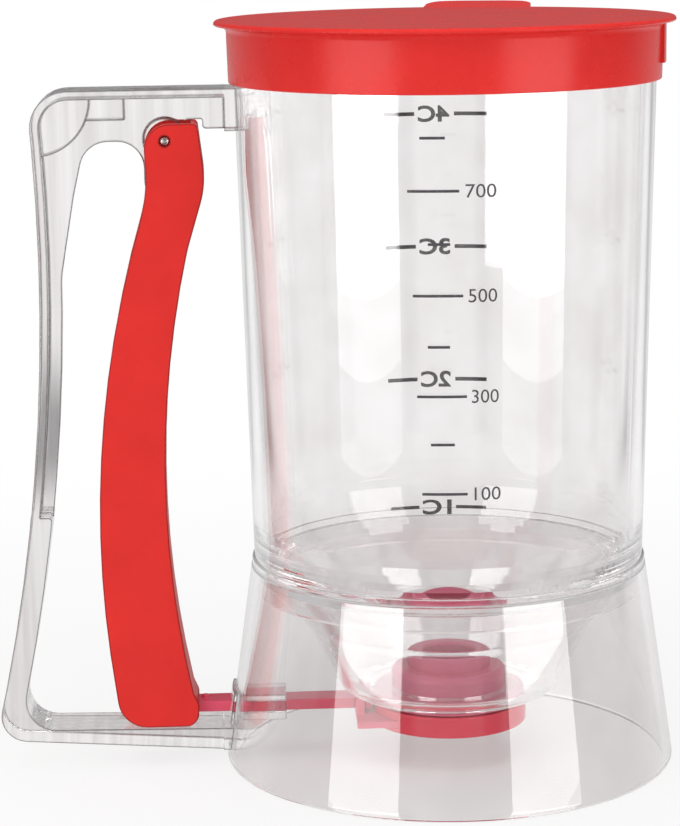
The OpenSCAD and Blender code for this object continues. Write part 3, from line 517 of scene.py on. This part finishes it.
# The trigger's rounded strips are painted a deeper red as shade.
grip_painted_shade_edge = red_plastic("abs_eroded_painted_shade_edge", "#A52522", "#C24440",
                        0.2, 0.36, 0.05, 0.6 * MM, 0.02 * MM)
valve_red = red_plastic("abs_polished_moulded", "#E63A50", "#EE8090",
                        0.35, 0.2, 0.04, 1.2 * MM, 0.01 * MM)
rod_red = red_plastic("abs_polished_rod", "#E0556E", "#EA8C9C",
                      0.35, 0.2, 0.04, 1.2 * MM, 0.01 * MM)
seat_rose = red_plastic("polypropylene_rose_moulded", "#DE6485", "#EA9CB0",
                        0.35, 0.24, 0.04, 1.2 * MM, 0.01 * MM)

# %% [markdown]
# ## Metal, silicone and acetal
# The pin is ground stainless steel, the push nut is stamped spring steel and the spring is drawn
# wire: all steel, told apart by their roughness and by the fine lines of how they were made. The
# seal is platinum-cured silicone, soft looking because light enters it a little, and the spacer
# is milky acetal. Working lines could come from an image, but noise that is stretched along one
# axis needs none, and its lines have a width in millimetres.

# %% Steel
# Real working lines are a few hundredths of a millimetre wide. That is too fine to show, so they
# are drawn as coarse as they need to show.
LINE_DEPTH = 0.02 * MM


def steel(name, colour, roughness, stretch):
    """Steel with fine working lines; stretch gives the line's size along X, Y and Z."""
    material, tree = new_material(name)
    place = add(tree, "TexCoord").outputs["Object"]
    drawn = add(tree, "Mapping", {"Scale": tuple(1 / size for size in stretch)}, {"Vector": place})
    lines = add(tree, "TexNoise", {"Scale": 1.0, "Detail": 3.0}, {"Vector": drawn.outputs[0]})
    rough = add(tree, "MapRange", {"From Min": NOISE_FROM[0], "From Max": NOISE_FROM[1],
                                   "To Min": roughness - 0.08, "To Max": roughness + 0.1},
                {"Value": lines.outputs["Fac"]})
    bump = add(tree, "Bump", {"Strength": 0.2, "Distance": LINE_DEPTH}, {"Height": lines.outputs["Fac"]})
    metal = add(tree, "BsdfPrincipled", {"Base Color": linear(colour), "Metallic": 1.0},
                {"Roughness": rough.outputs["Result"], "Normal": bump.outputs["Normal"]})
    add(tree, "OutputMaterial", {}, {"Surface": metal.outputs[0]})
    print(name, "roughness", roughness)
    return material


pin_steel = steel("stainless_steel_ground", "#DAD4D0", 0.4, (0.3 * MM, 6 * MM, 0.3 * MM))
nut_steel = steel("spring_steel_stamped", "#B7B4AE", 0.32, (0.5 * MM, 0.5 * MM, 0.5 * MM))
wire_steel = steel("spring_wire_drawn", "#BDBAB4", 0.28, (0.25 * MM, 0.25 * MM, 2.5 * MM))


# %% Silicone and acetal
# Both are soft enough to hold fine dust, which breaks their sheen up in patches.
DUST = 0.9 * MM
DUST_DEPTH = 0.02 * MM


def soft_white(name, colour, roughness, ior, inside):
    """A milky plastic or rubber; inside is how far light goes into it."""
    material, tree = new_material(name)
    place = add(tree, "TexCoord").outputs["Object"]
    dust = add(tree, "TexNoise", {"Scale": 1 / DUST, "Detail": 4.0}, {"Vector": place})
    rough = add(tree, "MapRange", {"To Min": roughness - 0.08, "To Max": roughness + 0.08},
                {"Value": dust.outputs["Fac"]})
    bump = add(tree, "Bump", {"Strength": 0.2, "Distance": DUST_DEPTH}, {"Height": dust.outputs["Fac"]})
    body = add(tree, "BsdfPrincipled",
               {"Base Color": linear(colour), "IOR": ior, "Subsurface Weight": 0.4,
                "Subsurface Radius": (inside, inside, inside), "Subsurface Scale": 1.0},
               {"Roughness": rough.outputs["Result"], "Normal": bump.outputs["Normal"]})
    add(tree, "OutputMaterial", {}, {"Surface": body.outputs[0]})
    print(name, "IOR", ior)
    return material


silicone = soft_white("silicone_cured_milky", "#E4E3DD", 0.5, 1.41, 1.2 * MM)
acetal = soft_white("acetal_moulded_white", "#ECEBE6", 0.36, 1.48, 0.5 * MM)

# %% [markdown]
# ## Which finish goes where
# The CAD solids already have the shape of each moulding, so they stay, and only their finish is
# set here.

# %% Finishes
FINISH = {"jug_body": clear_jug, "base_skirt": clear_base, "handle_frame": clear_handle,
          "rod_guide": clear_base, "valve_seat": seat_rose, "gate_seal": silicone, "valve_cap": valve_red,
          "gate_plate": rod_red, "draw_rod": rod_red, "trigger": grip_red, "pivot_pin": pin_steel,
          "pivot_clip": nut_steel, "pivot_spacer": acetal, "return_spring": wire_steel, "lid": lid_red}
for name, material in FINISH.items():
    for slot in nodes[name].material_slots:
        slot.material = material
print("finished nodes:", len(FINISH))

# %% [markdown]
# ## Rounded edges
# No moulded edge is sharp: a tool's corner always leaves a small radius, and that radius is what
# catches light. The flat-sided parts get it from modifiers, so their solids stay as they are.
# Weld joins the split edges, Decimate takes the triangles out of the flat faces, Bevel rounds
# each edge that turns by more than its limit, and Weighted Normal keeps the flat faces flat. The
# rounded strip can have painted shade of its own: a deeper red on the trigger, a dark grey on the
# clear guide. The handle has corners too tight for that, so its finish paints its dark edges itself.

# %% Rounded edges
# Radii and the weld's reach are in millimetres.
EDGE_RADIUS = {"trigger": 0.4, "gate_plate": 0.3, "draw_rod": 0.35, "rod_guide": 0.3, "pivot_pin": 0.9}
# The rounded strips' colours are painted shade: a deeper red on the trigger, a dark grey on the clear
# guide.
EDGE_PAINTED_SHADE = {"trigger": grip_painted_shade_edge, "rod_guide": clear_painted_shade_edge}
WELD_REACH = 0.05
FLAT_LIMIT, EDGE_LIMIT = math.radians(0.6), math.radians(32)
EDGE_STEPS = 3
for name, radius in EDGE_RADIUS.items():
    part = nodes[name]
    weld = part.modifiers.new("weld", "WELD")
    weld.merge_threshold = WELD_REACH * MM
    flat = part.modifiers.new("flat", "DECIMATE")
    flat.decimate_type = "DISSOLVE"
    flat.angle_limit = FLAT_LIMIT
    soft = part.modifiers.new("soft", "BEVEL")
    soft.width = radius * MM
    soft.segments = EDGE_STEPS
    soft.limit_method = "ANGLE"
    soft.angle_limit = EDGE_LIMIT
    soft.use_clamp_overlap = False
    # The strip takes the painted shade colour.
    if name in EDGE_PAINTED_SHADE:
        part.data.materials.append(EDGE_PAINTED_SHADE[name])
        soft.material = len(part.data.materials) - 1
    part.modifiers.new("even", "WEIGHTED_NORMAL")
print("rounded:", sorted(EDGE_RADIUS))

# %% [markdown]
# ## Printed marks
# Two scales are pad-printed on the outside of the jug: thin grey millilitre marks on the near
# side, and bold cup marks on the far side, which are read through the clear wall from the front.
# They could be an image in the wall's material, but that material would have to be ink in one
# place and clear in the next. Ink is a film, so each scale is a thin sheet of its own that lies a
# few hundredths of a millimetre off the wall. It is drawn flat first, as bars and as Blender's
# own letters, and then bent onto the cone: across becomes an angle about the axis, and up stays
# up.

# %% Ink
# The outside of the jug is a cone from foot to mouth, in millimetres. Real pinholes in ink are
# too fine to show, so they are drawn as coarse as they need to show.
MOUTH_R, MOUTH_Z = 55.7, 197.5
FOOT_R, FOOT_Z = 52.3, 54.4
INK_LIFT = 0.03
PINHOLE = 0.5 * MM
PINHOLE_FROM = (0.55, 0.75)
FILM_DEPTH = 0.01 * MM


def ink(name, colour, dusty):
    """Pad-printed ink: matte, with small pinholes where it is a little thinner."""
    material, tree = new_material(name)
    place = add(tree, "TexCoord").outputs["Object"]
    pinholes = add(tree, "TexNoise", {"Scale": 1 / PINHOLE, "Detail": 3.0}, {"Vector": place})
    thin = add(tree, "MapRange", {"From Min": PINHOLE_FROM[0], "From Max": PINHOLE_FROM[1]},
               {"Value": pinholes.outputs["Fac"]})
    tone = add(tree, "Mix", {"data_type": "RGBA", "A": linear(colour), "B": linear(dusty)},
               {0: thin.outputs["Result"]})
    bump = add(tree, "Bump", {"Strength": 0.3, "Distance": FILM_DEPTH},
               {"Height": pinholes.outputs["Fac"]})
    film = add(tree, "BsdfPrincipled", {"Roughness": 0.55, "IOR": 1.5},
               {"Base Color": tone.outputs[2], "Normal": bump.outputs["Normal"]})
    add(tree, "OutputMaterial", {}, {"Surface": film.outputs[0]})
    return material


def jug_radius(z):
    """Outer radius of the jug at a height, in millimetres."""
    return FOOT_R + (MOUTH_R - FOOT_R) * (z - FOOT_Z) / (MOUTH_Z - FOOT_Z)


def on_wall(across, up, turn, z):
    """The place of a flat point (across, up) on the jug, at turn degrees from the camera's side."""
    r = jug_radius(z + up) + INK_LIFT
    a = math.radians(turn) + across / r
    return Vector((r * math.sin(a), -r * math.cos(a), z + up)) * MM


print("jug radius at 100 mm:", round(jug_radius(100), 2))


# %% Bars and figures
def print_bar(sheet, start, end, z, thick):
    """A mark from one angle to another, in degrees, bent round the wall in short steps."""
    steps = max(2, round(abs(end - start)))
    rows = []
    for i in range(steps + 1):
        turn = start + (end - start) * i / steps
        rows.append([sheet.verts.new(on_wall(0, up, turn, z)) for up in (-thick / 2, thick / 2)])
    for before, after in zip(rows, rows[1:]):
        sheet.faces.new((before[0], after[0], after[1], before[1]))


def print_figures(sheet, words, start, end, z, height, boldness):
    """Letters that fill the angle from start to end, centred on height z."""
    curve = bpy.data.curves.new("figures", "FONT")
    curve.body = words
    curve.offset = boldness
    curve.resolution_u = 4
    drawn = bpy.data.objects.new("figures", curve)
    scene.collection.objects.link(drawn)
    bpy.context.view_layer.update()
    flat = bpy.data.meshes.new_from_object(drawn.evaluated_get(bpy.context.evaluated_depsgraph_get()))
    left, wide = min(v.co.x for v in flat.vertices), max(v.co.x for v in flat.vertices)
    low, high = min(v.co.y for v in flat.vertices), max(v.co.y for v in flat.vertices)
    width = math.radians(end - start) * jug_radius(z)
    corners = [sheet.verts.new(on_wall((v.co.x - left) / (wide - left) * width,
                                       ((v.co.y - low) / (high - low) - 0.5) * height, start, z))
               for v in flat.vertices]
    for face in flat.polygons:
        sheet.faces.new([corners[i] for i in face.vertices])
    bpy.data.objects.remove(drawn)
    bpy.data.curves.remove(curve)
    bpy.data.meshes.remove(flat)


# %% Millilitre scale
# Each row: height in millimetres, the bar's start and end in degrees, and a figure with its own
# start and end. Every second mark is a short one without a figure.
ML_BAR, ML_FIGURE = 0.7, 3.4
ML_MARKS = [(83.8, -11.8, 0.5, "100", 2.4, 9.6), (96.5, -9.3, -2.9, "", 0, 0),
            (108.75, -12.9, 0.4, "300", 1.7, 9.0), (121.3, -9.9, -4.0, "", 0, 0),
            (134.15, -13.7, -0.5, "500", 0.9, 8.5), (147.0, -9.6, -3.8, "", 0, 0),
            (160.15, -14.8, -1.4, "700", 0.2, 8.2), (173.2, -11.5, -5.0, "", 0, 0)]
grey_ink = ink("pad_ink_grey", "#454346", "#6E6C6E")
sheet = bmesh.new()
for z, start, end, words, first, last in ML_MARKS:
    print_bar(sheet, start, end, z, ML_BAR)
    if words:
        print_figures(sheet, words, first, last, z, ML_FIGURE, 0.0)
ml_scale = keep_piece("print_millilitres", sheet, grey_ink)
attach(ml_scale, "jug")

# %% Cup scale
CUP_MARKS = [(56.8, "1C"), (94.5, "2C"), (132.7, "3C"), (170.3, "4C")]
CUP_BAR, CUP_LETTER, CUP_BOLD = 1.1, 4.7, 0.03
CUP_BARS_AT = ((162.1, 172.2), (184.3, 194.0))
CUP_WORD_FROM, CUP_WORD_TO = 173.6, 183.2
black_ink = ink("pad_ink_black", "#121012", "#2E2C2E")
sheet = bmesh.new()
for z, words in CUP_MARKS:
    for start, end in CUP_BARS_AT:
        print_bar(sheet, start, end, z, CUP_BAR)
    print_figures(sheet, words, CUP_WORD_FROM, CUP_WORD_TO, z, CUP_LETTER, CUP_BOLD)
cup_scale = keep_piece("print_cups", sheet, black_ink)
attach(cup_scale, "jug")

# %% [markdown]
# ## Return spring
# A torsion spring of drawn wire sits round the pivot pin: its long leg pushes the trigger's front
# wall, and its other end hooks into the handle's lug. The CAD solid is an eight-sided wire, so it
# is drawn again here as a round one, along the same path: one straight leg, a coil, and a leg
# that crosses to the lug. A curve with a round bevel would be quicker to draw, but a mesh has
# closed ends and points of its own that can follow two bodies.

# %% Spring path
# Millimetres. The pivot, and from it, in the plane of the trigger's swing, the end of the long leg
# and the hook's reach and angle. The coil starts at depth COIL_Y, and the hook's leg is bent over
# to the lug.
PIVOT = (-73.7, 169.4)
WIRE = 0.85
COIL_R = 1.975
COIL_Y, COIL_PITCH = -5.625, 0.87
LONG_LEG = (7.275, -12.0)
HOOK_REACH, HOOK_TURN = 4.6, math.radians(200)
BEND_AT, BEND_OUT = 0.97, 0.3
long_end = Vector(LONG_LEG)
hook_end = Vector((math.cos(HOOK_TURN), math.sin(HOOK_TURN))) * HOOK_REACH
leave_long = math.atan2(long_end.y, long_end.x) + math.acos(COIL_R / long_end.length)
leave_hook = math.atan2(hook_end.y, hook_end.x) + 4 * math.pi - math.acos(COIL_R / hook_end.length)
TURN_STEPS = 72
wire_path = [(long_end.x, COIL_Y, long_end.y)]
for i in range(TURN_STEPS + 1):
    a = leave_long + (leave_hook - leave_long) * i / TURN_STEPS
    y = COIL_Y + COIL_PITCH * (a - leave_long) / (2 * math.pi)
    wire_path.append((COIL_R * math.cos(a), y, COIL_R * math.sin(a)))
coil_end_y = wire_path[-1][1]
wire_path += [(hook_end.x * t, coil_end_y, hook_end.y * t) for t in (BEND_AT, 1.0)]
wire_path += [(hook_end.x, coil_end_y + BEND_OUT, hook_end.y), (hook_end.x, 0, hook_end.y)]
wire_path = [Vector((PIVOT[0] + x, y, PIVOT[1] + z)) for x, y, z in wire_path]
print("wire length in mm:", round(sum((b - a).length for a, b in zip(wire_path, wire_path[1:])), 1))

# %% Spring wire
WIRE_SIDES = 12
tube = bmesh.new()
side = Vector((0, 1, 0))
rings = []
for i, point in enumerate(wire_path):
    along = (wire_path[min(i + 1, len(wire_path) - 1)] - wire_path[max(i - 1, 0)]).normalized()
    side = (side - along * side.dot(along)).normalized()
    other = along.cross(side)
    rings.append([tube.verts.new((point + (side * math.cos(a) + other * math.sin(a)) * WIRE / 2) * MM)
                  for a in (2 * math.pi * k / WIRE_SIDES for k in range(WIRE_SIDES))])
for before, after in zip(rings, rings[1:]):
    for k in range(WIRE_SIDES):
        m = (k + 1) % WIRE_SIDES
        tube.faces.new((before[k], before[m], after[m], after[k]))
tube.faces.new(reversed(rings[0]))
tube.faces.new(rings[-1])
spring = keep_piece("spring_wire", tube, wire_steel)
foot = Vector((PIVOT[0] + long_end.x, COIL_Y, PIVOT[1] + long_end.y)) * MM
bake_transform(spring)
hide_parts("return_spring")

# %% [markdown]
# ## Push nut
# A push-on nut holds the pin: a stamped steel washer whose teeth are cut free by slots and bent
# up so that they bite the pin when it is pressed on. It could be a disc with its slots cut by
# Booleans. Rings of points, with the inner ring moved out where a slot is, need no cutters and
# make every tooth alike.

# %% Push nut
NUT_R, PIN_R = 3.0, 1.43
NUT_FACE = 8.05
NUT_T = 0.45
RIM_IN, RIM_UP = 0.12, 0.1
TOOTH_ROOT, SLOT_R, TOOTH_UP = 2.3, 2.15, 0.15
NUT_STEPS = 72
SLOTS = 6
SLOT_STEPS = 3


def nut_ring(mesh, tooth, slot, y):
    """One ring of points about the pivot at depth y: one radius at the teeth, one at the slots."""
    ring = []
    for k in range(NUT_STEPS):
        a = 2 * math.pi * k / NUT_STEPS
        r = slot if k % (NUT_STEPS // SLOTS) < SLOT_STEPS else tooth
        place = (PIVOT[0] + r * math.cos(a), y, PIVOT[1] + r * math.sin(a))
        ring.append(mesh.verts.new(Vector(place) * MM))
    return ring


# The nut's section, as (radius at a tooth, radius at a slot, depth), once round it.
NUT_BACK = NUT_FACE + NUT_T
NUT_SECTION = [(NUT_R - RIM_IN, NUT_R - RIM_IN, NUT_FACE), (NUT_R, NUT_R, NUT_FACE + RIM_UP),
               (NUT_R, NUT_R, NUT_BACK - RIM_UP), (NUT_R - RIM_IN, NUT_R - RIM_IN, NUT_BACK),
               (TOOTH_ROOT, TOOTH_ROOT, NUT_BACK), (PIN_R, SLOT_R, NUT_BACK + TOOTH_UP),
               (PIN_R, SLOT_R, NUT_FACE + TOOTH_UP), (TOOTH_ROOT, TOOTH_ROOT, NUT_FACE)]
nut = bmesh.new()
around = [nut_ring(nut, tooth, slot, y) for tooth, slot, y in NUT_SECTION]
for i, ring in enumerate(around):
    after = around[(i + 1) % len(around)]
    for k in range(NUT_STEPS):
        m = (k + 1) % NUT_STEPS
        nut.faces.new((ring[k], ring[m], after[m], after[k]))
bmesh.ops.recalc_face_normals(nut, faces=nut.faces)
push_nut = keep_piece("push_nut", nut, nut_steel)
for face in push_nut.data.polygons:
    face.use_smooth = False
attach(push_nut, "trigger")
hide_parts("pivot_clip")
print("teeth of the push nut:", SLOTS)
